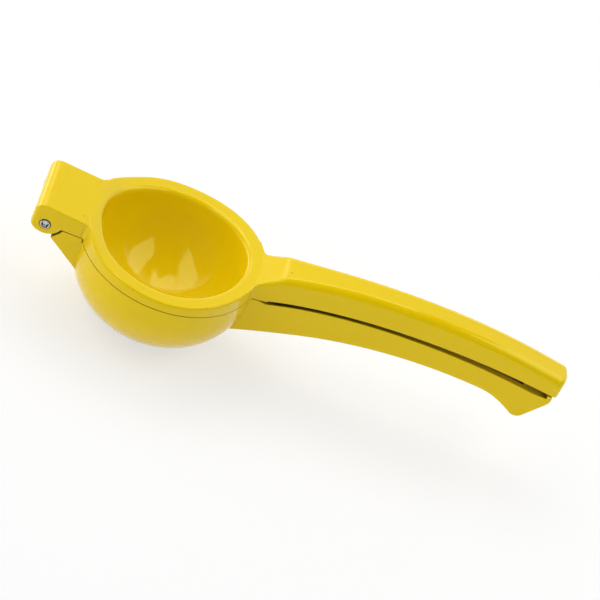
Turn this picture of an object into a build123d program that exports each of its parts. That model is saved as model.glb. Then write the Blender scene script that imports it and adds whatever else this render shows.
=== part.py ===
"""Hinged hand squeezer for half a lemon: two cast arms on one steel hinge pin.

Frame: millimetres, +Z up, +X from the hinge to the grips, -Y and +Y the two sides.
The origin is the centre of the cup's flat foot, straight under the cup's axis.
The squeezer is modelled closed, with the press bowl down inside the cup.
"""
from build123d import *
from math import exp, sqrt
import os

# ---- driving dimensions -------------------------------------------------------------
# Cup, the round end of the lower arm
rim_radius = 35.0           # outside of both round rims
cup_corner = 27.0           # big radius between the cup's upright wall and its flat foot
cup_upright = 5.7           # upright stretch of the cup's wall, under its rim
cup_wall = 2.6
seam_height = cup_corner + cup_upright   # parting plane of the two castings
seam_gap = 0.35             # air between them when they are closed
edge_soft = 0.8             # small round on the castings' outer edges

# Drain slots in the floor of the cup: count, length and distance from the axis
slot_width = 2.8
inner_slots = (6, 6.4, 8.8)
outer_slots = (12, 6.0, 17.4)

# Press bowl, the round end of the upper arm
plate_thick = 3.8           # ring plate at the middle of its dished top
dish_radius = 187.0         # the plate's top is hollow along X
dish_end = -25.0            # from here it climbs to the hinge block's top
climb_end = -33.5
bowl_mouth = 28.3           # radius of the bowl's mouth
bowl_depth = 24.0
bowl_wall = 2.6
lip_round = 2.3

# Hinge
pin_x = -47.3
pin_height = 34.1
pin_radius = 2.0
pin_running_fit = 0.05      # radial play of the pin in the lower arm's tongue
pin_press_fit = 0.01        # radial grip of the upper arm's cheeks
pin_proud = 0.3             # the rolled ends stand out of the cheeks by this much
pin_countersink = 0.4       # dark ring left round each end of the pin
pin_dish_depth = 1.0
pin_dish_radius = 1.35
pin_dish_floor = 0.9
pin_roll = 0.2              # bevels of the rolled rim round the dish
cheek_round = ((-47.2, 36.3), 6.6)      # round underside of the cheeks: centre, radius
hinge_half_width = 14.1
tongue_half_width = 7.8
tongue_radius = 3.4         # round top of the tongue, about the pin
hinge_clearance = 0.35
hinge_end = -52.8
hinge_top = 42.45          # top of the block, over the pin
hinge_top_slope = -0.09    # it falls towards the ring
hinge_corner = 3.8          # round between the block's top and its end
hinge_side_round = 1.8      # upright corners of the block's end
hinge_part_step = 1.5       # the parting line is this much higher at the hinge
gusset_gap = 0.75           # the gusset's hollow lies this far under the cheeks
gusset_swing = 6.1          # and this far from the pin, to let the cheeks' corners by
gusset_tip = (-43.9, 29.4)
gusset_foot = (-27.0, 16.0)

# Grips: each side curve is an arc, given by its highest point and its radius
grip_end = 155.9
roof = ((100.3, 51.15), 266.0)       # top of the upper grip
mouth = ((109.0, 40.9), 315.0)       # lower edge of the upper grip
brim = ((104.0, 38.9), 280.0)        # upper edge of the lower grip
belly = ((112.0, 29.7), 200.0)       # underside of the lower grip
belly_start = 60.0          # nearer the cup it runs down in a flatter line
neck_under = (14.7, (42.6, 18.1))
neck_slope = 0.22
grip_half_width = 6.1
neck_start = 33.6
neck_sunk = 3.0             # the neck starts this far inside the ring plate
root_sunk = 6.0             # and the lower arm's this far inside the cup's wall
neck_extra = 3.5            # the neck is this much wider where it leaves the ring
neck_fade = 17.0            # and the extra width dies away over this length
ramp_end = 44.5             # the neck climbs from the ring to here
ramp_slopes = (0.5, 0.15)    # of the climb, at its foot and at its crest
blend_radius = 2.6          # rounded inner corners beside the neck and the hinge block
blend_start = 31.0          # they lie further out than this, on both sides
ring_flush = 0.1            # what runs into the ring is sunk this much under its faces
neck_round = 0.6
shoulder_round = 3.0
shoulder_fade = 4.0         # the neck's small rounds grow to it over this length
grip_wall = 2.3
grip_roof = 2.6
grip_stations = (50.0, 60.0, 80.0, 110.0, 140.0)    # where the grips' width is set
upper_cavity = (47.0, 151.5)
lower_cavity = (43.0, 142.5)     # past its end the lower grip is solid
end_nose = 1.6              # the upper grip's end is bowed out by this much
end_undercut = 1.4          # and leans in by this much at its lower edge
end_upright = 5.0           # over this height
end_round = 2.0

# Flared tail of the lower grip, at its end
flare_start = 126.0
flare_middle = (134.0, 27.4)
heel = ((140.7, 23.7), (143.4, 22.6), (146.0, 23.8))     # round lowest part
heel_slope = (1, -0.6)
tail_tip = ((152.6, 33.1), (153.4, 35.2), (153.2, 37.4))
rim_level_end = 36.5        # the brim runs level with the cup's rim up to here
brim_start = 40.0
brim_end = 146.0            # the brim runs level from here to the lip
tail_lip = 1.7
tail_recess = 1.6

arm_half_depth = 20.0       # side profiles are extruded this far to both sides
spare = 1.0                 # cutting shapes run past what they cut by this much
touch = 0.1                 # tolerance for finding edges by their place


# ---- shared shapes ------------------------------------------------------------------
def half_width(x):
    """Half the width of both grips, in plan, at the distance x along them."""
    return grip_half_width + neck_extra * exp((neck_start - x) / neck_fade)


def height_on(curve, x):
    """Height at x of an arc given by its highest point and its radius."""
    peak, radius = curve
    return peak[1] - radius + sqrt(radius**2 - (x - peak[0]) ** 2)


def reach_of(curve, height):
    """Where an arc, on its hinge side, climbs through the given height."""
    peak, radius = curve
    return peak[0] - sqrt(radius**2 - (radius - peak[1] + height) ** 2)


def arc_between(curve, start, end):
    """Piece of an arc from x = start to x = end, inside a BuildLine block."""
    middle = (start + end) / 2
    return ThreePointArc(*[(x, height_on(curve, x)) for x in (start, middle, end)])


def grip_plan(start, end, nose=0.0):
    """Plan of a grip, narrowing by half_width, with its end bowed out by nose."""
    stations = [start, (start + ramp_end) / 2, ramp_end, *grip_stations, end - nose]
    corner = half_width(end - nose)
    with BuildSketch(Plane.XY) as plan:
        with BuildLine():
            Spline(*[(x, -half_width(x)) for x in stations])
            Spline(*[(x, half_width(x)) for x in stations])
            Line((start, -half_width(start)), (start, half_width(start)))
            if nose:
                ThreePointArc((end - nose, -corner), (end, 0), (end - nose, corner))
            else:
                Line((end, -corner), (end, corner))
        make_face()
    return plan.sketch


def grip_section(x, top, bottom, soft):
    """Upright cross-section of the upper grip: flat top, rounded shoulders."""
    wide = half_width(x)
    turn = soft * (1 - sqrt(0.5))
    with BuildSketch(Plane.YZ.offset(x)) as section:
        with BuildLine():
            Polyline((-wide, top - soft), (-wide, bottom), (wide, bottom), (wide, top - soft))
            ThreePointArc((wide, top - soft), (wide - turn, top - turn), (wide - soft, top))
            Line((wide - soft, top), (soft - wide, top))
            ThreePointArc((soft - wide, top), (turn - wide, top - turn), (-wide, top - soft))
        make_face()
    return section.sketch


def cup_profile(radius, corner, base, top):
    """Half-section of a round vessel: flat base, big corner radius, upright wall."""
    flat = radius - corner
    turn = corner * sqrt(0.5)
    with BuildSketch(Plane.XZ) as profile:
        with BuildLine():
            Line((0, base), (flat, base))
            ThreePointArc((flat, base), (flat + turn, base + corner - turn),
                          (radius, base + corner))
            Polyline((radius, base + corner), (radius, top), (0, top), (0, base))
        make_face()
    return profile.sketch


# ---- upper arm: ring plate and press bowl -------------------------------------------
def dish_line(x):
    """Height of the ring plate's hollow top at x."""
    return seam_height + plate_thick + dish_radius - sqrt(dish_radius**2 - x**2)


def block_line(x):
    """Height of the hinge block's sloping top at x."""
    return hinge_top + hinge_top_slope * (x - hinge_end - hinge_corner)


def over_ring(lowered=0.0):
    """Side view of the air over the ring: its top is dished, and climbs to the hinge block."""
    far = rim_radius + 3 * blend_radius
    dished = [(x, dish_line(x) - lowered) for x in (far, -dish_end, 0, dish_end / 2, dish_end)]
    meets = (climb_end, block_line(climb_end) - lowered)
    with BuildSketch(Plane.XZ) as air:
        with BuildLine():
            Spline(*dished, meets, tangents=[(-1, -far / dish_radius), (-1, -hinge_top_slope)])
            Polyline(meets, (-far, block_line(-far) - lowered), (-far, 2 * seam_height),
                     (far, 2 * seam_height), dished[0])
        make_face()
    return air.sketch


def off_axis(edge):
    """Distance of an edge's middle from the cup's axis."""
    middle = edge @ 0.5
    return sqrt(middle.X**2 + middle.Y**2)


def top_edges(bowl, nearest, farthest):
    """Edges of the ring plate's top, between two distances from the cup's axis."""
    lowest = seam_height + plate_thick - spare
    high = bowl.edges().filter_by(lambda e: e.bounding_box().min.Z > lowest)
    return high.filter_by(lambda e: nearest < off_axis(e) < farthest)


def press_bowl():
    plate_under = seam_height
    mouth_height = seam_height + plate_thick
    ball = (bowl_mouth**2 + bowl_depth**2) / (2 * bowl_depth)   # radius of the bowl's inside
    ball_centre = mouth_height - bowl_depth + ball
    blank_top = block_line(-rim_radius) + spare
    with BuildPart() as bowl:
        with BuildSketch(Plane.XZ):
            with Locations((rim_radius / 2, (plate_under + blank_top) / 2)):
                Rectangle(rim_radius, blank_top - plate_under)
        revolve(axis=Axis.Z)
        with BuildSketch(Plane.XZ):
            with Locations((0, ball_centre)):
                Circle(ball + bowl_wall)
            with Locations((0, plate_under + ball)):
                Rectangle(4 * ball, 2 * ball, mode=Mode.SUBTRACT)
            with Locations((-ball, ball_centre)):
                Rectangle(2 * ball, 4 * ball, mode=Mode.SUBTRACT)
        revolve(axis=Axis.Z)
        with BuildSketch(Plane.XZ):
            with Locations((0, ball_centre)):
                Circle(ball)
            with Locations((-ball, ball_centre)):
                Rectangle(2 * ball, 4 * ball, mode=Mode.SUBTRACT)
        revolve(axis=Axis.Z, mode=Mode.SUBTRACT)
        extrude(over_ring(), amount=rim_radius + spare, both=True, mode=Mode.SUBTRACT)
        fillet(top_edges(bowl, 0, rim_radius - touch), lip_round)
        fillet(top_edges(bowl, rim_radius - touch, 2 * rim_radius), edge_soft)
    return bowl.part


# ---- upper arm: hinge block -----------------------------------------------------------
def hinge_block():
    """Sloping block with two cheeks, round under the pin, and a slot for the tongue."""
    under = seam_height + hinge_part_step
    (round_x, round_z), radius = cheek_round
    inner = round_x + sqrt(radius**2 - (round_z - under) ** 2)
    toe = round_z - sqrt(radius**2 - (hinge_end - round_x) ** 2)
    slot_radius = tongue_radius + hinge_clearance
    with BuildPart() as block:
        with BuildSketch(Plane.XZ) as side:
            with Locations((round_x, round_z)):
                Circle(radius)
                Rectangle(3 * radius, radius, align=(Align.CENTER, Align.MIN),
                          mode=Mode.SUBTRACT)
            with Locations((hinge_end, round_z)):
                Rectangle(radius, 3 * radius, align=(Align.MAX, Align.CENTER), mode=Mode.SUBTRACT)
            Polygon((hinge_end, round_z), (hinge_end, block_line(hinge_end)),
                    (climb_end, block_line(climb_end)), (climb_end, under), (inner, under),
                    align=None)
            end_corners = side.vertices().group_by(Axis.X)[0].sort_by(Axis.Y)
            fillet(end_corners[-1], hinge_corner)
            fillet(side.vertices().sort_by_distance((hinge_end, toe, 0))[0], edge_soft)
        extrude(amount=hinge_half_width, both=True)
        top_rim = block.edges().filter_by(
            lambda e: e.center().Z > hinge_top - hinge_corner
            and abs(e.center().Y) > hinge_half_width / 2
            and e.center().X < climb_end - spare
        )
        fillet(top_rim, edge_soft / 2)
        with BuildSketch(Plane.XY) as plan:
            with Locations((hinge_end, 0)):
                Rectangle(climb_end - hinge_end, 2 * hinge_half_width,
                          align=(Align.MIN, Align.CENTER))
            fillet(plan.vertices().group_by(Axis.X)[0], hinge_side_round)
        extrude(amount=hinge_top + spare, mode=Mode.INTERSECT)
        with BuildSketch(Plane.XZ):
            with Locations((pin_x, pin_height)):
                Circle(slot_radius)
            with Locations((pin_x + slot_radius, pin_height)):
                Rectangle(4 * slot_radius, 4 * slot_radius, align=(Align.MAX, Align.MAX))
            with Locations((pin_x, pin_height + slot_radius)):
                Rectangle(4 * slot_radius, 4 * slot_radius, align=(Align.MAX, Align.MAX))
            with Locations((pin_x, under)):
                Rectangle(4 * slot_radius, 4 * slot_radius, align=(Align.CENTER, Align.MAX))
        extrude(amount=tongue_half_width + hinge_clearance, both=True, mode=Mode.SUBTRACT)
    return block.part


# ---- upper arm: neck and hollow grip --------------------------------------------------
def neck_top(x):
    """Height of the neck's top: a cubic from the ring plate up to the grip's roof."""
    span = ramp_end - neck_start
    t = (x - neck_start) / span
    low, high = dish_line(neck_start), height_on(roof, ramp_end)
    rises = ramp_slopes[0] * t * (1 - t) ** 2 - ramp_slopes[1] * t**2 * (1 - t)
    return low + (high - low) * t**2 * (3 - 2 * t) + span * rises


def shoulder(x):
    """Radius of the upper edges: small on the neck, growing to its full size."""
    return shoulder_round - (shoulder_round - neck_round) * exp((neck_start - x) / shoulder_fade)


def upper_grip():
    """Neck and grip: lofted through cross-sections, trimmed in side view and in plan."""
    blank_under = seam_height / 2
    sunk = neck_start - neck_sunk
    third = (ramp_end - neck_start) / 3
    neck_stations = [neck_start, neck_start + third, ramp_end - third, ramp_end]
    opens_at = reach_of(mouth, seam_height)
    lower_end = grip_end - end_undercut
    with BuildPart() as neck:
        add(grip_section(sunk, dish_line(sunk) - ring_flush, blank_under, neck_round))
        for x in neck_stations:
            add(grip_section(x, neck_top(x), blank_under, shoulder(x)))
        loft()
    with BuildPart() as grip:
        for x in (ramp_end, *grip_stations, grip_end + spare):
            add(grip_section(x, height_on(roof, x), blank_under, shoulder(x)))
        loft()
        add(neck.part)
        with BuildSketch(Plane.XZ):
            with BuildLine():
                Polyline((lower_end, height_on(mouth, lower_end)),
                         (grip_end, height_on(mouth, grip_end) + end_upright),
                         (grip_end, roof[0][1] + spare), (sunk, roof[0][1] + spare),
                         (sunk, seam_height), (opens_at, seam_height))
                arc_between(mouth, opens_at, lower_end)
            make_face()
        extrude(amount=arm_half_depth, both=True, mode=Mode.INTERSECT)
        extrude(grip_plan(sunk - spare, grip_end, end_nose), amount=roof[0][1] + spare,
                mode=Mode.INTERSECT)
        end_edges = grip.edges().filter_by(
            lambda e: e.bounding_box().min.X > grip_end - end_nose - spare
            and e.center().Z > height_on(roof, grip_end) - shoulder_round
        )
        fillet(end_edges, end_round)
        start, end = upper_cavity
        with BuildSketch(Plane.XZ):
            with BuildLine():
                ceiling = ((roof[0][0], roof[0][1] - grip_roof), roof[1])
                arc_between(ceiling, start, end)
                Polyline((start, height_on(ceiling, start)), (start, blank_under),
                         (end, blank_under), (end, height_on(ceiling, end)))
            make_face()
        extrude(amount=grip_half_width - grip_wall, both=True, mode=Mode.SUBTRACT)
    return grip.part


def neck_root():
    """Plan of the neck's first stretch, sunk a little under its sides."""
    stations = [rim_radius / 2, blend_start, neck_start, rim_radius + 2 * blend_radius]
    side = [(x, half_width(x) - ring_flush) for x in stations]
    with BuildSketch() as plan:
        with BuildLine():
            Spline(*side)
            Polyline(side[0], (side[0][0], 0), (side[-1][0], 0), side[-1])
        make_face()
        mirror(about=Plane.XZ)
    return plan.sketch


def block_root():
    """Plan of the hinge block's end at the ring, sunk a little under its sides."""
    with BuildSketch() as plan:
        Rectangle(2 * (rim_radius + blend_radius), 2 * (hinge_half_width - ring_flush))
    return plan.sketch


def root_blend(root, side, start):
    """Rounded inner corners where a root's plan runs into the ring, up to the ring's top."""
    with BuildPart() as blend:
        with BuildSketch(Plane.XY.offset(start)) as outline:
            Circle(rim_radius - ring_flush)
            add(root)
            corners = outline.vertices().filter_by(
                lambda v: abs(sqrt(v.X**2 + v.Y**2) - rim_radius) < 3 * ring_flush
            )
            fillet(corners, blend_radius)
            Rectangle(2 * blend_start, 3 * rim_radius, mode=Mode.SUBTRACT)
            with Locations((-side * blend_start, 0)):
                Rectangle(2 * rim_radius, 3 * rim_radius, mode=Mode.SUBTRACT,
                          align=(Align.MAX if side > 0 else Align.MIN, Align.CENTER))
        extrude(amount=block_line(-rim_radius) + spare - start)
        extrude(over_ring(ring_flush), amount=rim_radius + spare, both=True, mode=Mode.SUBTRACT)
    return blend.part


# ---- lower arm: cup, hinge gusset and hollow grip with a flared tail --------------------
def hinge_gusset():
    """Tongue round the pin, and the full-width gusset that carries it on the cup."""
    top = seam_height + hinge_part_step - seam_gap
    inner = gusset_foot[0]
    with BuildPart() as gusset:
        with BuildSketch(Plane.XZ):
            Polygon(gusset_tip, gusset_foot, (inner, top), (pin_x, top), align=None)
            with Locations(cheek_round[0]):
                Circle(cheek_round[1] + gusset_gap, mode=Mode.SUBTRACT)
            with Locations((pin_x, pin_height)):
                Circle(gusset_swing, mode=Mode.SUBTRACT)
        extrude(amount=hinge_half_width, both=True)
        with BuildSketch(Plane.XZ):
            with Locations((pin_x, pin_height)):
                Circle(tongue_radius)
            Polygon((pin_x, pin_height), (pin_x, pin_height - tongue_radius), gusset_tip,
                    gusset_foot, (inner, top), (pin_x, top), align=None)
        extrude(amount=tongue_half_width, both=True)
    return gusset.part


def lower_grip():
    start = neck_start - root_sunk
    rim_top = seam_height - seam_gap
    brim_height = height_on(brim, brim_end)
    lip_foot = tail_tip[-1][0] - tail_lip
    with BuildPart() as grip:
        with BuildSketch(Plane.XZ):
            with BuildLine():
                Spline((start, neck_under[0]), neck_under[1],
                       (belly_start, height_on(belly, belly_start)),
                       tangents=[(1, neck_slope), (1, (belly[0][0] - belly_start) / belly[1])])
                arc_between(belly, belly_start, flare_start)
                flare_height = height_on(belly, flare_start)
                slope = (belly[0][0] - flare_start) / belly[1]
                Spline((flare_start, flare_height), flare_middle, heel[0],
                       tangents=[(1, slope), heel_slope])
                ThreePointArc(*heel)
                Line(heel[-1], tail_tip[0])
                ThreePointArc(*tail_tip)
                Polyline(tail_tip[-1], (lip_foot, tail_tip[-1][1]), (lip_foot, brim_height),
                         (brim_end, brim_height))
                arc_between(brim, brim_start, brim_end)
                Polyline((brim_start, height_on(brim, brim_start)), (rim_level_end, rim_top),
                         (start, rim_top), (start, neck_under[0]))
            make_face()
        extrude(amount=arm_half_depth, both=True)
        extrude(grip_plan(start - spare, tail_tip[1][0]), amount=roof[0][1], mode=Mode.INTERSECT)
    return grip.part


def drain_slots():
    """Two rings of radial slots through the floor of the cup."""
    with BuildSketch() as slots:
        for count, length, centre in (inner_slots, outer_slots):
            with PolarLocations(centre, count):
                SlotOverall(length, slot_width)
    return slots.sketch


with BuildPart() as upper_arm:
    add(press_bowl())
    add(hinge_block())
    add(upper_grip())
    add(root_blend(neck_root(), 1, seam_height))
    add(root_blend(block_root(), -1, seam_height + hinge_part_step))
    with BuildSketch(Plane.XZ):
        with Locations((pin_x, pin_height)):
            Circle(pin_radius - pin_press_fit)
    extrude(amount=arm_half_depth, both=True, mode=Mode.SUBTRACT)
    bore_rims = upper_arm.edges().filter_by(GeomType.CIRCLE).filter_by(
        lambda e: e.radius < pin_radius and abs(e.center().Y) > hinge_half_width - touch
    )
    chamfer(bore_rims, pin_countersink)

with BuildPart() as lower_arm:
    cup_top = seam_height - seam_gap
    revolve(cup_profile(rim_radius, cup_corner, 0, cup_top), axis=Axis.Z)
    add(hinge_gusset())
    add(lower_grip())
    inside = cup_profile(rim_radius - cup_wall, cup_corner - cup_wall, cup_wall, 2 * cup_top)
    revolve(inside, axis=Axis.Z, mode=Mode.SUBTRACT)
    with BuildSketch(Plane.XY.offset(cup_top)):
        Circle(rim_radius + hinge_clearance)
    extrude(amount=hinge_part_step + spare, mode=Mode.SUBTRACT)
    extrude(drain_slots(), amount=cup_corner / 2, mode=Mode.SUBTRACT)
    with BuildSketch(Plane.XZ):
        with Locations((pin_x, pin_height)):
            Circle(pin_radius + pin_running_fit)
    extrude(amount=arm_half_depth, both=True, mode=Mode.SUBTRACT)
    hollow_start, hollow_end = lower_cavity
    over_brim = brim[0][1] + spare
    with BuildSketch(Plane.XZ):
        with BuildLine():
            floor = ((belly[0][0], belly[0][1] + grip_roof), belly[1])
            arc_between(floor, hollow_start, hollow_end)
            Polyline((hollow_end, height_on(floor, hollow_end)), (hollow_end, over_brim),
                     (hollow_start, over_brim), (hollow_start, height_on(floor, hollow_start)))
        make_face()
    extrude(amount=grip_half_width - grip_wall, both=True, mode=Mode.SUBTRACT)
    recess_end = tail_tip[-1][0] - tail_lip
    recess_floor = height_on(brim, brim_end) - tail_recess
    with BuildSketch(Plane.XZ):
        Polygon((hollow_end - spare, recess_floor), (recess_end, recess_floor),
                (recess_end, over_brim), (hollow_end - spare, over_brim), align=None)
    extrude(amount=grip_half_width - grip_wall, both=True, mode=Mode.SUBTRACT)

# ---- hinge pin: rolled rims and dished ends, turned about its own axis ----------------------
with BuildPart() as hinge_pin:
    reach = hinge_half_width + pin_proud
    with BuildSketch(Plane.XY.offset(pin_height)):
        with BuildLine():
            Polyline((pin_x, 0), (pin_x, reach - pin_dish_depth),
                     (pin_x + pin_dish_floor, reach - pin_dish_depth),
                     (pin_x + pin_dish_radius, reach - pin_roll),
                     (pin_x + pin_dish_radius + pin_roll, reach),
                     (pin_x + pin_radius - pin_roll, reach),
                     (pin_x + pin_radius, reach - pin_roll), (pin_x + pin_radius, 0))
            mirror(about=Plane.XZ)
        make_face()
    revolve(axis=Axis((pin_x, 0, pin_height), (0, 1, 0)))

os.makedirs("parts", exist_ok=True)
for name, piece in (("upper_arm", upper_arm), ("lower_arm", lower_arm), ("hinge_pin", hinge_pin)):
    piece.part.label = name
    export_step(piece.part, f"parts/{name}.step")
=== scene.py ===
"""Dresses the hinged lemon squeezer: coated castings, steel pin, camera and studio."""
import math

import bmesh
import bpy
from bpy.props import FloatProperty, FloatVectorProperty, PointerProperty
from mathutils import Matrix, Vector

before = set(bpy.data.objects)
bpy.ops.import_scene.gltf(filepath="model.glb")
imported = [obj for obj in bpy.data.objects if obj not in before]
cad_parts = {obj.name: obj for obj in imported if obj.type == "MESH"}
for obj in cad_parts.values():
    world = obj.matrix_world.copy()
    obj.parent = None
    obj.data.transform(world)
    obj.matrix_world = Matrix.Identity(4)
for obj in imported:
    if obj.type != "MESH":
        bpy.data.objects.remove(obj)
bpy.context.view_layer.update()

bl_info = {
    "name": "Hinged lemon squeezer",
    "version": (1, 0, 0),
    "blender": (4, 5, 0),
    "location": "3D View > Sidebar > Squeezer",
    "description": "Finishes a coated hinged squeezer and sets up its studio",
    "category": "Add Mesh",
}

MM = 0.001
FLOOR_REACH = 3.0
CASTINGS = ("upper_arm", "lower_arm")
PIN = "hinge_pin"
BACKDROP_TOP = (0.50, 0.85)     # sine of the height over which the pale backdrop fades out
BACKDROP_SIDE = (0.25, 0.45)    # sine of the turn from the side over which it comes in
LAMP_HEIGHT = 1.03
LAMPS = {                       # outline of each hanging soft box, seen from above
    "left_lamp": ((-0.53, -0.67), (-0.35, -0.06), (-0.42, 0.56), (-0.50, 1.05),
                  (-1.04, 1.05), (-1.06, 0.79), (-1.11, 0.44), (-0.89, -0.01), (-0.75, -0.43)),
    "back_lamp": ((0.20, 0.28), (0.23, 1.02), (-0.45, 1.05), (-0.47, 0.92),
                  (-0.34, 0.30), (-0.15, 0.30), (0.05, 0.56), (0.11, 0.34)),
    "far_lamp": ((-0.48, 1.25), (-0.50, 1.55), (-0.78, 1.55), (-0.72, 1.25)),
    "right_lamp": ((0.63, -0.63), (1.06, 0.07), (1.18, 0.29), (1.23, 1.05),
                   (0.60, 1.05), (0.49, 0.47), (0.41, 0.21), (0.33, -0.09), (0.43, -0.32)),
}
FILL_TOP = (0.50, 0.90)         # sine of the height over which the low fill fades out
SHADOW_SPAN = (0.20, 0.45)      # distance over which the floor turns plain white
FILL_RIGHT = 0.55               # share of the fill that comes from the far right
SEAM_SOFT = (0.036, 0.044)      # distance along X over which the painted gap shade grows to full
SEAM_SHADE = 0.2                # share of it that the cup's own seam gets
SPECKS = (                      # place in millimetres, radius and darkness of each dark speck
    ((44.42, -2.34, 45.2), 0.62, 0.8),
    ((44.90, 3.70, 45.3), 0.45, 0.35),
    ((-34.95, -9.79, 41.2), 0.9, 0.35),
    ((-36.1, -6.0, 41.3), 0.6, 0.15),
)
SIDE_LAMP = ((-1.15, -0.20), (-0.62, 0.95))     # ends of the low upright soft box on the left
SIDE_LAMP_SPAN = (0.02, 0.19)                   # its lower and upper edge

COATING_IOR = 1.47
NOISE_SPAN = (0.3, 0.7)         # where the slow patchy tone mostly lies
PATCH_SHARE = 0.10              # how far the palest patch goes to the thin coating's tone
EDGE_SHARE = 0.5                # and how far an edge goes
COATING_POLISH = (-0.03, 0.05)  # roughness of the smoothest and the dullest patch, from its mean
PIN_POLISH = (-0.06, 0.14)
PIN_SHADE = 0.62                # darkest patch of the pin, as a share of its colour
SPECK_TONE = 0.35               # brightness of a speck, as a share of the coating's
PIT_DEPTH = 0.1 * MM
PAINTED_GAP_SHADE_TONE = 0.045                # painted shade: brightness of the walls of a narrow gap
GAP_ROUGHNESS = 0.8
TURNING_MARKS = (300, 6000, 300)    # fine along the pin's axis
FLOOR_ROUGHNESS = 0.85
FLOOR_SHINE = 0.2
FLOOR_GRAIN = 0.99              # darkest grain of the floor, as a share of its colour

CAMERA_ANGLES = (-7.70, 39.40, 26.03)   # turn, tilt and roll in degrees
CAMERA_DISTANCE = 1200 * MM
CAMERA_ASIDE = (46.88, -21.40, 0)       # shift across and up the view, in millimetres
CAMERA_AIM = (0, 0, 36.5)               # point that it turns about, in millimetres
SENSOR_WIDTH = 36.0


# ---- sizes and colours that a user would change ---------------------------------------------
class SqueezerFinish(bpy.types.PropertyGroup):
    coating_colour: FloatVectorProperty(
        name="Coating colour", description="Colour of the baked yellow coating",
        subtype="COLOR", size=3, min=0, max=1, default=(0.81, 0.565, 0.0015))
    thin_colour: FloatVectorProperty(
        name="Thin coating colour", description="Paler tone where the coating is thin on edges",
        subtype="COLOR", size=3, min=0, max=1, default=(0.85, 0.63, 0.012))
    sheen_colour: FloatVectorProperty(
        name="Reflection colour", description="Tint of what the coating mirrors",
        subtype="COLOR", size=3, min=0, max=1, default=(0.78, 1.0, 0.40))
    coating_roughness: FloatProperty(
        name="Coating roughness", description="How blurred the coating's reflections are",
        subtype="FACTOR", min=0, max=1, default=0.095)
    peel_size: FloatProperty(
        name="Orange peel size", description="Distance between the coating's soft ripples",
        unit="LENGTH", min=0.0005, max=0.02, default=0.0045)
    peel_depth: FloatProperty(
        name="Orange peel depth", description="Height of the coating's soft ripples",
        unit="LENGTH", min=0, max=0.0005, default=0.000012)
    edge_radius: FloatProperty(
        name="Edge softness", description="Radius that the coating gives to sharp cast edges",
        unit="LENGTH", min=0, max=0.002, default=0.00035)
    steel_colour: FloatVectorProperty(
        name="Pin colour", description="Colour of the plain steel pin",
        subtype="COLOR", size=3, min=0, max=1, default=(0.72, 0.72, 0.70))
    steel_roughness: FloatProperty(
        name="Pin roughness", description="How blurred the pin's reflections are",
        subtype="FACTOR", min=0, max=1, default=0.16)


class SqueezerStudio(bpy.types.PropertyGroup):
    floor_colour: FloatVectorProperty(
        name="Floor colour", description="Colour of the plain floor",
        subtype="COLOR", size=3, min=0, max=1, default=(0.96, 0.96, 0.96))
    floor_white: FloatProperty(
        name="Floor white", description="Share of plain white, which thins the shadow",
        subtype="FACTOR", min=0, max=1, default=0.6)
    backdrop_glow: FloatProperty(
        name="Backdrop glow", description="Brightness of the backdrop behind, where 1 is white",
        min=0, max=3, default=0.8)
    room_glow: FloatProperty(
        name="Room glow", description="Brightness of the dim room in front and overhead",
        min=0, max=3, default=0.05)
    fill_glow: FloatProperty(
        name="Fill light", description="Strength of the soft fill from low down all round",
        min=0, max=3, default=0.77)
    lamp_glow: FloatProperty(
        name="Lamp glow", description="Brightness of the soft boxes, where 1 is white",
        min=0, max=20, default=2.65)
    side_glow: FloatProperty(
        name="Side lamp glow", description="Brightness of the low soft box on the left",
        min=0, max=20, default=4.0)
    focal_length: FloatProperty(
        name="Focal length", description="Focal length of the camera",
        min=20, max=400, default=193.5)


# ---- node helpers ---------------------------------------------------------------------------
def node_at(tree, kind, x, y, **values):
    """Adds a node; a value whose name is an input is set there, any other on the node."""
    node = tree.nodes.new(kind)
    node.location = (x, y)
    for name, value in values.items():
        words = name.replace("_", " ").title()
        if words in node.inputs:
            node.inputs[words].default_value = value
        else:
            setattr(node, name, value)
    return node


def ranged(tree, x, y, span=(0.0, 1.0), ends=(0.0, 1.0), **values):
    """Adds a Map Range node that takes span to ends."""
    node = node_at(tree, "ShaderNodeMapRange", x, y, **values)
    for name, value in zip(("From Min", "From Max", "To Min", "To Max"), (*span, *ends)):
        node.inputs[name].default_value = value
    return node


def new_group(name, inputs, outputs):
    """Empty shader group; each socket is given as (name, kind, default)."""
    group = bpy.data.node_groups.new(name, "ShaderNodeTree")
    for direction, sockets in (("INPUT", inputs), ("OUTPUT", outputs)):
        for label, kind, default in sockets:
            socket = group.interface.new_socket(label, in_out=direction, socket_type=kind)
            if default is not None:
                socket.default_value = default
    start = node_at(group, "NodeGroupInput", -900, 0)
    return group, start, node_at(group, "NodeGroupOutput", 700, 0)


def soft_edge_group():
    """Rounded normal and an edge mask for cast or turned edges."""
    group, start, end = new_group(
        "Soft edges",
        [("Radius", "NodeSocketFloat", 0.0004), ("Spread", "NodeSocketFloat", 6.0)],
        [("Normal", "NodeSocketVector", None), ("Mask", "NodeSocketFloat", None)])
    link = group.links.new
    bevel = node_at(group, "ShaderNodeBevel", -600, 100, samples=8)
    surface = node_at(group, "ShaderNodeNewGeometry", -600, -150)
    agree = node_at(group, "ShaderNodeVectorMath", -350, 0, operation="DOT_PRODUCT")
    differ = node_at(group, "ShaderNodeMath", -150, 0, operation="SUBTRACT", use_clamp=True)
    differ.inputs[0].default_value = 1.0
    spread = node_at(group, "ShaderNodeMath", 50, 0, operation="MULTIPLY", use_clamp=True)
    link(start.outputs["Radius"], bevel.inputs["Radius"])
    link(bevel.outputs["Normal"], agree.inputs[0])
    link(surface.outputs["Normal"], agree.inputs[1])
    link(agree.outputs["Value"], differ.inputs[1])
    link(differ.outputs["Value"], spread.inputs[0])
    link(start.outputs["Spread"], spread.inputs[1])
    link(bevel.outputs["Normal"], end.inputs["Normal"])
    link(spread.outputs["Value"], end.inputs["Mask"])
    return group


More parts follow.
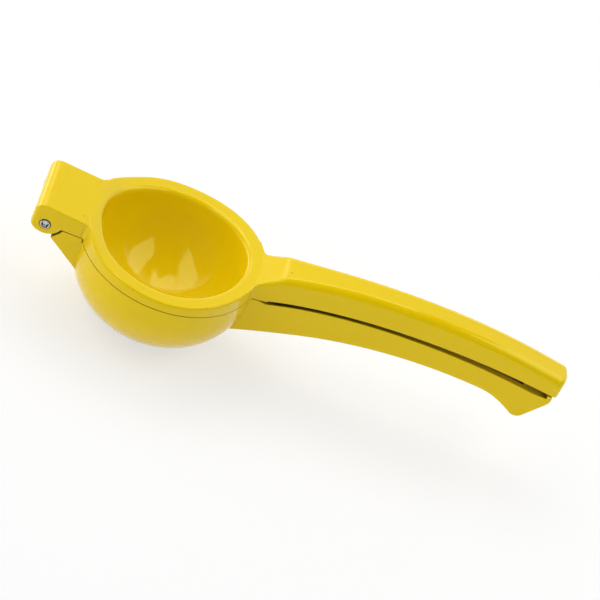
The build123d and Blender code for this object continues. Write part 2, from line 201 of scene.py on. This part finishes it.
def ripple_group():
    """Two sizes of soft ripple and a slow patchy tone, in object coordinates."""
    group, start, end = new_group(
        "Soft ripples",
        [("Vector", "NodeSocketVector", None), ("Coarse scale", "NodeSocketFloat", 200.0),
         ("Fine scale", "NodeSocketFloat", 1200.0), ("Fine share", "NodeSocketFloat", 0.25)],
        [("Height", "NodeSocketFloat", None), ("Tone", "NodeSocketFloat", None)])
    link = group.links.new
    coarse = node_at(group, "ShaderNodeTexNoise", -600, 200, detail=1.0, roughness=0.4)
    fine = node_at(group, "ShaderNodeTexNoise", -600, -50, detail=2.0, roughness=0.5)
    tone = node_at(group, "ShaderNodeTexNoise", -600, -300, scale=28.0, detail=3.0, roughness=0.55)
    share = node_at(group, "ShaderNodeMath", -300, 0, operation="MULTIPLY")
    total = node_at(group, "ShaderNodeMath", -100, 100, operation="ADD")
    for noise in (coarse, fine, tone):
        link(start.outputs["Vector"], noise.inputs["Vector"])
    link(start.outputs["Coarse scale"], coarse.inputs["Scale"])
    link(start.outputs["Fine scale"], fine.inputs["Scale"])
    link(fine.outputs["Fac"], share.inputs[0])
    link(start.outputs["Fine share"], share.inputs[1])
    link(coarse.outputs["Fac"], total.inputs[0])
    link(share.outputs["Value"], total.inputs[1])
    link(total.outputs["Value"], end.inputs["Height"])
    link(tone.outputs["Fac"], end.inputs["Tone"])
    return group


def speck_group():
    """Sparse small pits, as a baked coating has where air or dust was caught."""
    group, start, end = new_group(
        "Sparse pits",
        [("Vector", "NodeSocketVector", None), ("Scale", "NodeSocketFloat", 60.0),
         ("Pit size", "NodeSocketFloat", 0.03), ("Share", "NodeSocketFloat", 0.2)],
        [("Mask", "NodeSocketFloat", None)])
    link = group.links.new
    cells = node_at(group, "ShaderNodeTexVoronoi", -600, 100, feature="F1")
    inside = node_at(group, "ShaderNodeMath", -350, 150, operation="LESS_THAN")
    pick = node_at(group, "ShaderNodeSeparateColor", -350, -50)
    chosen = node_at(group, "ShaderNodeMath", -150, -50, operation="LESS_THAN")
    both = node_at(group, "ShaderNodeMath", 50, 100, operation="MULTIPLY")
    link(start.outputs["Vector"], cells.inputs["Vector"])
    link(start.outputs["Scale"], cells.inputs["Scale"])
    link(cells.outputs["Distance"], inside.inputs[0])
    link(start.outputs["Pit size"], inside.inputs[1])
    link(cells.outputs["Color"], pick.inputs["Color"])
    link(pick.outputs["Red"], chosen.inputs[0])
    link(start.outputs["Share"], chosen.inputs[1])
    link(inside.outputs["Value"], both.inputs[0])
    link(chosen.outputs["Value"], both.inputs[1])
    link(both.outputs["Value"], end.inputs["Mask"])
    return group


def marks_group():
    """Small dark specks at chosen places, in object coordinates."""
    group, start, end = new_group(
        "Placed specks", [("Vector", "NodeSocketVector", None)],
        [("Mask", "NodeSocketFloat", None)])
    link = group.links.new
    total = None
    for step, (place, radius, depth) in enumerate(SPECKS):
        away = node_at(group, "ShaderNodeVectorMath", -600, -200 * step, operation="DISTANCE")
        away.inputs[1].default_value = [part * MM for part in place]
        fade = ranged(group, -400, -200 * step, (0.0, radius * MM), (depth, 0.0),
                      interpolation_type="SMOOTHSTEP")
        link(start.outputs["Vector"], away.inputs[0])
        link(away.outputs["Value"], fade.inputs["Value"])
        if total is None:
            total = fade.outputs["Result"]
            continue
        both = node_at(group, "ShaderNodeMath", -200, -200 * step, operation="MAXIMUM")
        link(total, both.inputs[0])
        link(fade.outputs["Result"], both.inputs[1])
        total = both.outputs["Value"]
    link(total, end.inputs["Mask"])
    return group


def painted_gap_shade_group():
    """Painted shade: mask that is 1 in a narrow gap or seam, where light is lost; it darkens the
    colour there.
    """
    group, start, end = new_group(
        "Painted gap shade",
        [("Vector", "NodeSocketVector", None), ("Reach", "NodeSocketFloat", 0.006),
         ("Shut", "NodeSocketFloat", 0.36), ("Open", "NodeSocketFloat", 0.66)],
        [("Mask", "NodeSocketFloat", None)])
    open_sky = node_at(group, "ShaderNodeAmbientOcclusion", -600, 100, samples=8)
    shade = ranged(group, -300, 100, ends=(1.0, 0.0))
    link = group.links.new
    link(start.outputs["Reach"], open_sky.inputs["Distance"])
    link(open_sky.outputs["AO"], shade.inputs["Value"])
    link(start.outputs["Shut"], shade.inputs["From Min"])
    link(start.outputs["Open"], shade.inputs["From Max"])
    parts = node_at(group, "ShaderNodeSeparateXYZ", -800, -200)
    away = node_at(group, "ShaderNodeMath", -600, -200, operation="ABSOLUTE")
    beside = ranged(group, -300, -200, SEAM_SOFT, (SEAM_SHADE, 1.0))
    both = node_at(group, "ShaderNodeMath", 0, 0, operation="MULTIPLY")
    link(start.outputs["Vector"], parts.inputs["Vector"])
    link(parts.outputs["X"], away.inputs[0])
    link(away.outputs["Value"], beside.inputs["Value"])
    link(shade.outputs["Result"], both.inputs[0])
    link(beside.outputs["Result"], both.inputs[1])
    link(both.outputs["Value"], end.inputs["Mask"])
    return group


def shared_group(name, build):
    """The named group, made on its first use."""
    return bpy.data.node_groups.get(name) or build()


def placed(tree, group, x, y, **values):
    """Adds a group to a material, with its own values."""
    node = node_at(tree, "ShaderNodeGroup", x, y)
    node.node_tree = group
    for name, value in values.items():
        node.inputs[name.replace("_", " ").capitalize()].default_value = value
    return node


def colour(rgb, share=1.0):
    """Opaque colour for a socket, darkened to a share of itself."""
    return (share * rgb[0], share * rgb[1], share * rgb[2], 1.0)


def blank_material(name):
    """Empty material with its shader, and its object coordinates."""
    material = bpy.data.materials.new(name)
    material.use_nodes = True
    tree = material.node_tree
    tree.nodes.clear()
    shader = node_at(tree, "ShaderNodeBsdfPrincipled", 400, 0)
    output = node_at(tree, "ShaderNodeOutputMaterial", 750, 0)
    tree.links.new(shader.outputs["BSDF"], output.inputs["Surface"])
    place = node_at(tree, "ShaderNodeTexCoord", -1200, 0)
    return material, tree, shader, place.outputs["Object"]


# ---- materials ------------------------------------------------------------------------------
def coating_material(finish):
    """Glossy baked coating: soft ripples, a few pits, paler and softer on the edges, with painted
    shade where parts stand close.
    """
    material, tree, shader, place = blank_material("Yellow coating")
    link = tree.links.new
    edges = placed(tree, shared_group("Soft edges", soft_edge_group), -900, 300,
                   Radius=finish.edge_radius, Spread=3.0)
    ripples = placed(tree, shared_group("Soft ripples", ripple_group), -900, 0,
                     Coarse_scale=1 / finish.peel_size, Fine_scale=5 / finish.peel_size)
    pits = placed(tree, shared_group("Sparse pits", speck_group), -900, -300,
                  Scale=55.0, Pit_size=0.016, Share=0.12)
    link(place, ripples.inputs["Vector"])
    link(place, pits.inputs["Vector"])

    tone = ranged(tree, -600, 100, NOISE_SPAN, (0.0, PATCH_SHARE))
    paler = node_at(tree, "ShaderNodeMath", -600, 350, operation="MULTIPLY", use_clamp=True)
    paler.inputs[1].default_value = EDGE_SHARE
    amount = node_at(tree, "ShaderNodeMath", -400, 250, operation="ADD", use_clamp=True)
    body = node_at(tree, "ShaderNodeMix", -200, 250, data_type="RGBA")
    body.inputs["A"].default_value = colour(finish.coating_colour)
    body.inputs["B"].default_value = colour(finish.thin_colour)
    dark = node_at(tree, "ShaderNodeMix", 50, 200, data_type="RGBA")
    dark.inputs["B"].default_value = colour(finish.coating_colour, SPECK_TONE)
    link(ripples.outputs["Tone"], tone.inputs["Value"])
    link(edges.outputs["Mask"], paler.inputs[0])
    link(tone.outputs["Result"], amount.inputs[0])
    link(paler.outputs["Value"], amount.inputs[1])
    link(amount.outputs["Value"], body.inputs["Factor"])
    marks = placed(tree, shared_group("Placed specks", marks_group), -900, -500)
    spots = node_at(tree, "ShaderNodeMath", -300, -400, operation="MAXIMUM")
    link(place, marks.inputs["Vector"])
    link(pits.outputs["Mask"], spots.inputs[0])
    link(marks.outputs["Mask"], spots.inputs[1])
    link(spots.outputs["Value"], dark.inputs["Factor"])
    link(body.outputs["Result"], dark.inputs["A"])
    # Painted shade: the colour is darkened where parts stand close, from ambient occlusion, and
    # those walls are also made rougher.
    painted_gap_shade = placed(tree, shared_group("Painted gap shade", painted_gap_shade_group), -200, 500)
    shaded = node_at(tree, "ShaderNodeMix", 200, 350, data_type="RGBA")
    shaded.inputs["B"].default_value = colour(finish.coating_colour, PAINTED_GAP_SHADE_TONE)
    link(place, painted_gap_shade.inputs["Vector"])
    link(painted_gap_shade.outputs["Mask"], shaded.inputs["Factor"])
    link(dark.outputs["Result"], shaded.inputs["A"])
    link(shaded.outputs["Result"], shader.inputs["Base Color"])

    rough = ranged(tree, -200, -50, NOISE_SPAN,
                   [finish.coating_roughness + change for change in COATING_POLISH])
    link(ripples.outputs["Tone"], rough.inputs["Value"])
    dull = node_at(tree, "ShaderNodeMix", 50, 0, data_type="FLOAT")
    dull.inputs["B"].default_value = GAP_ROUGHNESS
    link(painted_gap_shade.outputs["Mask"], dull.inputs["Factor"])
    link(rough.outputs["Result"], dull.inputs["A"])
    link(dull.outputs["Result"], shader.inputs["Roughness"])

    peel = node_at(tree, "ShaderNodeBump", -200, -250, strength=1.0, distance=finish.peel_depth)
    dents = node_at(tree, "ShaderNodeBump", 50, -250, strength=1.0, distance=PIT_DEPTH,
                    invert=True)
    link(ripples.outputs["Height"], peel.inputs["Height"])
    link(edges.outputs["Normal"], peel.inputs["Normal"])
    link(pits.outputs["Mask"], dents.inputs["Height"])
    link(peel.outputs["Normal"], dents.inputs["Normal"])
    link(dents.outputs["Normal"], shader.inputs["Normal"])
    shader.inputs["IOR"].default_value = COATING_IOR
    shader.inputs["Specular Tint"].default_value = colour(finish.sheen_colour)
    return material


def steel_material(finish):
    """Plain drawn steel with turning marks round the pin and a dull bloom in the dish."""
    material, tree, shader, place = blank_material("Pin steel")
    link = tree.links.new
    edges = placed(tree, shared_group("Soft edges", soft_edge_group), -900, 300,
                   Radius=0.00015, Spread=4.0)
    bloom = placed(tree, shared_group("Soft ripples", ripple_group), -900, 0,
                   Coarse_scale=900.0, Fine_scale=4000.0, Fine_share=0.5)
    link(place, bloom.inputs["Vector"])
    stretch = node_at(tree, "ShaderNodeMapping", -900, -300)
    stretch.inputs["Scale"].default_value = TURNING_MARKS
    marks = node_at(tree, "ShaderNodeTexNoise", -650, -300, scale=1.0, detail=3.0, roughness=0.6)
    link(place, stretch.inputs["Vector"])
    link(stretch.outputs["Vector"], marks.inputs["Vector"])
    body = node_at(tree, "ShaderNodeMix", -200, 250, data_type="RGBA")
    body.inputs["A"].default_value = colour(finish.steel_colour, PIN_SHADE)
    body.inputs["B"].default_value = colour(finish.steel_colour)
    link(bloom.outputs["Tone"], body.inputs["Factor"])
    link(body.outputs["Result"], shader.inputs["Base Color"])
    rough = ranged(tree, -200, -50,
                   ends=[finish.steel_roughness + change for change in PIN_POLISH])
    link(bloom.outputs["Height"], rough.inputs["Value"])
    link(rough.outputs["Result"], shader.inputs["Roughness"])
    bump = node_at(tree, "ShaderNodeBump", -200, -250, strength=0.5, distance=0.00001)
    link(marks.outputs["Fac"], bump.inputs["Height"])
    link(edges.outputs["Normal"], bump.inputs["Normal"])
    link(bump.outputs["Normal"], shader.inputs["Normal"])
    shader.inputs["Metallic"].default_value = 1.0
    return material


def floor_material(studio):
    """Pale matt floor that shows white to the camera and keeps the shadow."""
    material, tree, shader, place = blank_material("Pale floor")
    link = tree.links.new
    grain = placed(tree, shared_group("Soft ripples", ripple_group), -900, 0,
                   Coarse_scale=90.0, Fine_scale=900.0)
    link(place, grain.inputs["Vector"])
    tone = node_at(tree, "ShaderNodeMix", -200, 200, data_type="RGBA")
    tone.inputs["A"].default_value = colour(studio.floor_colour, FLOOR_GRAIN)
    tone.inputs["B"].default_value = colour(studio.floor_colour)
    link(grain.outputs["Tone"], tone.inputs["Factor"])
    link(tone.outputs["Result"], shader.inputs["Base Color"])
    shader.inputs["Roughness"].default_value = FLOOR_ROUGHNESS
    shader.inputs["Specular IOR Level"].default_value = FLOOR_SHINE

    rays = node_at(tree, "ShaderNodeLightPath", -200, -300)
    seen = node_at(tree, "ShaderNodeMath", 0, -300, operation="ADD", use_clamp=True)
    mirrored = node_at(tree, "ShaderNodeMath", 200, -300, operation="ADD", use_clamp=True)
    amount = node_at(tree, "ShaderNodeMath", 400, -300, operation="MULTIPLY")
    away = node_at(tree, "ShaderNodeVectorMath", -200, -500, operation="LENGTH")
    whiter = ranged(tree, 0, -500, SHADOW_SPAN, (studio.floor_white, 1.0))
    link(place, away.inputs[0])
    link(away.outputs["Value"], whiter.inputs["Value"])
    link(whiter.outputs["Result"], amount.inputs[1])
    white = node_at(tree, "ShaderNodeEmission", 400, -150, strength=1.0)
    white.inputs["Color"].default_value = (1, 1, 1, 1)
    blend = node_at(tree, "ShaderNodeMixShader", 600, 0)
    link(rays.outputs["Is Camera Ray"], seen.inputs[0])
    link(rays.outputs["Is Glossy Ray"], seen.inputs[1])
    link(seen.outputs["Value"], mirrored.inputs[0])
    link(rays.outputs["Is Transmission Ray"], mirrored.inputs[1])
    link(mirrored.outputs["Value"], amount.inputs[0])
    link(amount.outputs["Value"], blend.inputs["Fac"])
    link(shader.outputs["BSDF"], blend.inputs[1])
    link(white.outputs["Emission"], blend.inputs[2])
    link(blend.outputs["Shader"], tree.nodes["Material Output"].inputs["Surface"])
    return material


def studio_world(studio):
    """White where it is seen, pale behind in mirrors, and a soft fill from low down."""
    world = bpy.data.worlds.new("studio")
    world.use_nodes = True
    tree = world.node_tree
    tree.nodes.clear()
    rays = node_at(tree, "ShaderNodeLightPath", -600, 300)
    seen = node_at(tree, "ShaderNodeMath", -400, 300, operation="ADD", use_clamp=True)
    heading = node_at(tree, "ShaderNodeTexCoord", -1000, 0)
    parts = node_at(tree, "ShaderNodeSeparateXYZ", -800, 0)
    link = tree.links.new
    masks = []
    for axis, span, ends in (("Y", BACKDROP_SIDE, (0, 1)), ("Z", BACKDROP_TOP, (1, 0)),
                             ("Z", FILL_TOP, (studio.fill_glow, studio.room_glow))):
        mask = ranged(tree, -600, -200 * len(masks), span, ends)
        link(parts.outputs[axis], mask.inputs["Value"])
        masks.append(mask.outputs["Result"])
    backdrop = node_at(tree, "ShaderNodeMath", -400, 0, operation="MULTIPLY")
    lean = ranged(tree, -600, -600, (-1.0, 1.0), (2 - FILL_RIGHT, FILL_RIGHT))
    leaning = node_at(tree, "ShaderNodeMath", -500, -400, operation="MULTIPLY")
    link(parts.outputs["X"], lean.inputs["Value"])
    link(lean.outputs["Result"], leaning.inputs[0])
    link(masks[2], leaning.inputs[1])
    room = node_at(tree, "ShaderNodeMix", -400, -300, data_type="FLOAT")
    room.inputs["B"].default_value = studio.room_glow
    around = node_at(tree, "ShaderNodeMix", -200, 0, data_type="FLOAT")
    around.inputs["B"].default_value = studio.backdrop_glow
    mirrored = node_at(tree, "ShaderNodeMath", -400, 150, operation="MULTIPLY")
    plain = node_at(tree, "ShaderNodeMath", -200, 300, operation="ADD", use_clamp=True)
    strength = node_at(tree, "ShaderNodeMix", 0, 100, data_type="FLOAT")
    strength.inputs["B"].default_value = 1.0
    sky = node_at(tree, "ShaderNodeBackground", 200, 0)
    sky.inputs["Color"].default_value = (1, 1, 1, 1)
    out = node_at(tree, "ShaderNodeOutputWorld", 400, 0)
    link(rays.outputs["Is Camera Ray"], seen.inputs[0])
    link(rays.outputs["Is Transmission Ray"], seen.inputs[1])
    link(heading.outputs["Generated"], parts.inputs["Vector"])
    link(masks[0], backdrop.inputs[0])
    link(masks[1], backdrop.inputs[1])
    link(rays.outputs["Is Glossy Ray"], room.inputs["Factor"])
    link(leaning.outputs["Value"], room.inputs["A"])
    link(room.outputs["Result"], around.inputs["A"])
    link(backdrop.outputs["Value"], around.inputs["Factor"])
    link(rays.outputs["Is Glossy Ray"], mirrored.inputs[0])
    link(backdrop.outputs["Value"], mirrored.inputs[1])
    link(seen.outputs["Value"], plain.inputs[0])
    link(mirrored.outputs["Value"], plain.inputs[1])
    link(plain.outputs["Value"], strength.inputs["Factor"])
    link(around.outputs["Result"], strength.inputs["A"])
    link(strength.outputs["Result"], sky.inputs["Strength"])
    link(sky.outputs["Background"], out.inputs["Surface"])
    return world


def glow_material(name, strength):
    """Plain white light of a soft box."""
    material = bpy.data.materials.new(name)
    material.use_nodes = True
    tree = material.node_tree
    tree.nodes.clear()
    glow = node_at(tree, "ShaderNodeEmission", 0, 0, strength=strength)
    output = node_at(tree, "ShaderNodeOutputMaterial", 200, 0)
    tree.links.new(glow.outputs["Emission"], output.inputs["Surface"])
    return material


def staged(name, corners, material):
    """One flat face that belongs to the studio."""
    mesh = bpy.data.meshes.new(name)
    shape = bmesh.new()
    shape.faces.new([shape.verts.new(corner) for corner in corners])
    shape.to_mesh(mesh)
    shape.free()
    mesh.materials.append(material)
    thing = bpy.data.objects.new(name, mesh)
    bpy.context.scene.collection.objects.link(thing)
    return thing


def give_material(node, material):
    """Puts one material on a node of the frame, whose mesh stays as it is."""
    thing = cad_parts[node]
    thing.data.materials.clear()
    thing.data.materials.append(material)


# ---- operators ------------------------------------------------------------------------------
class SQUEEZER_OT_coat_castings(bpy.types.Operator):
    """Give both cast arms their glossy yellow coating"""
    bl_idname = "squeezer.coat_castings"
    bl_label = "Coat the castings"

    def execute(self, context):
        material = coating_material(context.scene.squeezer_finish)
        for node in CASTINGS:
            give_material(node, material)
        return {"FINISHED"}


class SQUEEZER_OT_finish_pin(bpy.types.Operator):
    """Give the hinge pin its plain steel"""
    bl_idname = "squeezer.finish_pin"
    bl_label = "Finish the pin"

    def execute(self, context):
        give_material(PIN, steel_material(context.scene.squeezer_finish))
        return {"FINISHED"}


class SQUEEZER_OT_build_studio(bpy.types.Operator):
    """Lay the pale floor and set the soft lamps"""
    bl_idname = "squeezer.build_studio"
    bl_label = "Build the studio"

    def execute(self, context):
        studio = context.scene.squeezer_studio
        reach = FLOOR_REACH
        corners = [(-reach, -reach, 0), (reach, -reach, 0), (reach, reach, 0), (-reach, reach, 0)]
        staged("floor", corners, floor_material(studio))

        context.scene.world = studio_world(studio)
        glow = glow_material("Soft box", studio.lamp_glow)
        for name, outline in LAMPS.items():
            staged(name, [(x, y, LAMP_HEIGHT) for x, y in outline], glow)
        low, high = SIDE_LAMP_SPAN
        near, far = SIDE_LAMP
        staged("side_lamp", [(*near, low), (*far, low), (*far, high), (*near, high)],
               glow_material("Side soft box", studio.side_glow))
        return {"FINISHED"}


class SQUEEZER_OT_place_camera(bpy.types.Operator):
    """Place the camera above and beside the squeezer"""
    bl_idname = "squeezer.place_camera"
    bl_label = "Place the camera"

    def execute(self, context):
        turn, tilt, roll = (math.radians(angle) for angle in CAMERA_ANGLES)
        aside = Vector(CAMERA_ASIDE) * MM
        aim = Vector(CAMERA_AIM) * MM
        across = Vector((math.cos(turn), math.sin(turn), 0))
        back = Vector((math.sin(turn) * math.cos(tilt), -math.cos(turn) * math.cos(tilt),
                       math.sin(tilt)))
        rise = back.cross(across)
        right = math.cos(roll) * across + math.sin(roll) * rise
        up = math.cos(roll) * rise - math.sin(roll) * across
        place = aim + aside.x * right + aside.y * up + CAMERA_DISTANCE * back
        data = bpy.data.cameras.new("camera")
        data.sensor_width = SENSOR_WIDTH
        data.lens = context.scene.squeezer_studio.focal_length
        camera = bpy.data.objects.new("camera", data)
        context.scene.collection.objects.link(camera)
        axes = Matrix((right, up, back)).transposed().to_4x4()
        camera.matrix_world = Matrix.Translation(place) @ axes
        context.scene.camera = camera
        return {"FINISHED"}


STEPS = (
    SQUEEZER_OT_coat_castings,
    SQUEEZER_OT_finish_pin,
    SQUEEZER_OT_build_studio,
    SQUEEZER_OT_place_camera,
)


class SQUEEZER_PT_panel(bpy.types.Panel):
    """Lists the squeezer's steps and the values they use"""
    bl_idname = "SQUEEZER_PT_panel"
    bl_label = "Lemon squeezer"
    bl_space_type = "VIEW_3D"
    bl_region_type = "UI"
    bl_category = "Squeezer"

    def draw(self, context):
        for values in (context.scene.squeezer_finish, context.scene.squeezer_studio):
            box = self.layout.box()
            for name in values.__annotations__:
                box.prop(values, name)
        for step in STEPS:
            self.layout.operator(step.bl_idname)


CLASSES = (SqueezerFinish, SqueezerStudio) + STEPS + (SQUEEZER_PT_panel,)


def register():
    for kind in CLASSES:
        bpy.utils.register_class(kind)
    bpy.types.Scene.squeezer_finish = PointerProperty(type=SqueezerFinish)
    bpy.types.Scene.squeezer_studio = PointerProperty(type=SqueezerStudio)


def unregister():
    del bpy.types.Scene.squeezer_studio
    del bpy.types.Scene.squeezer_finish
    for kind in reversed(CLASSES):
        bpy.utils.unregister_class(kind)


def main():
    """Runs every step in order."""
    register()
    bpy.context.scene.view_settings.view_transform = "Standard"
    bpy.ops.squeezer.coat_castings()
    bpy.ops.squeezer.finish_pin()
    bpy.ops.squeezer.build_studio()
    bpy.ops.squeezer.place_camera()


if __name__ == "__main__":
    main()
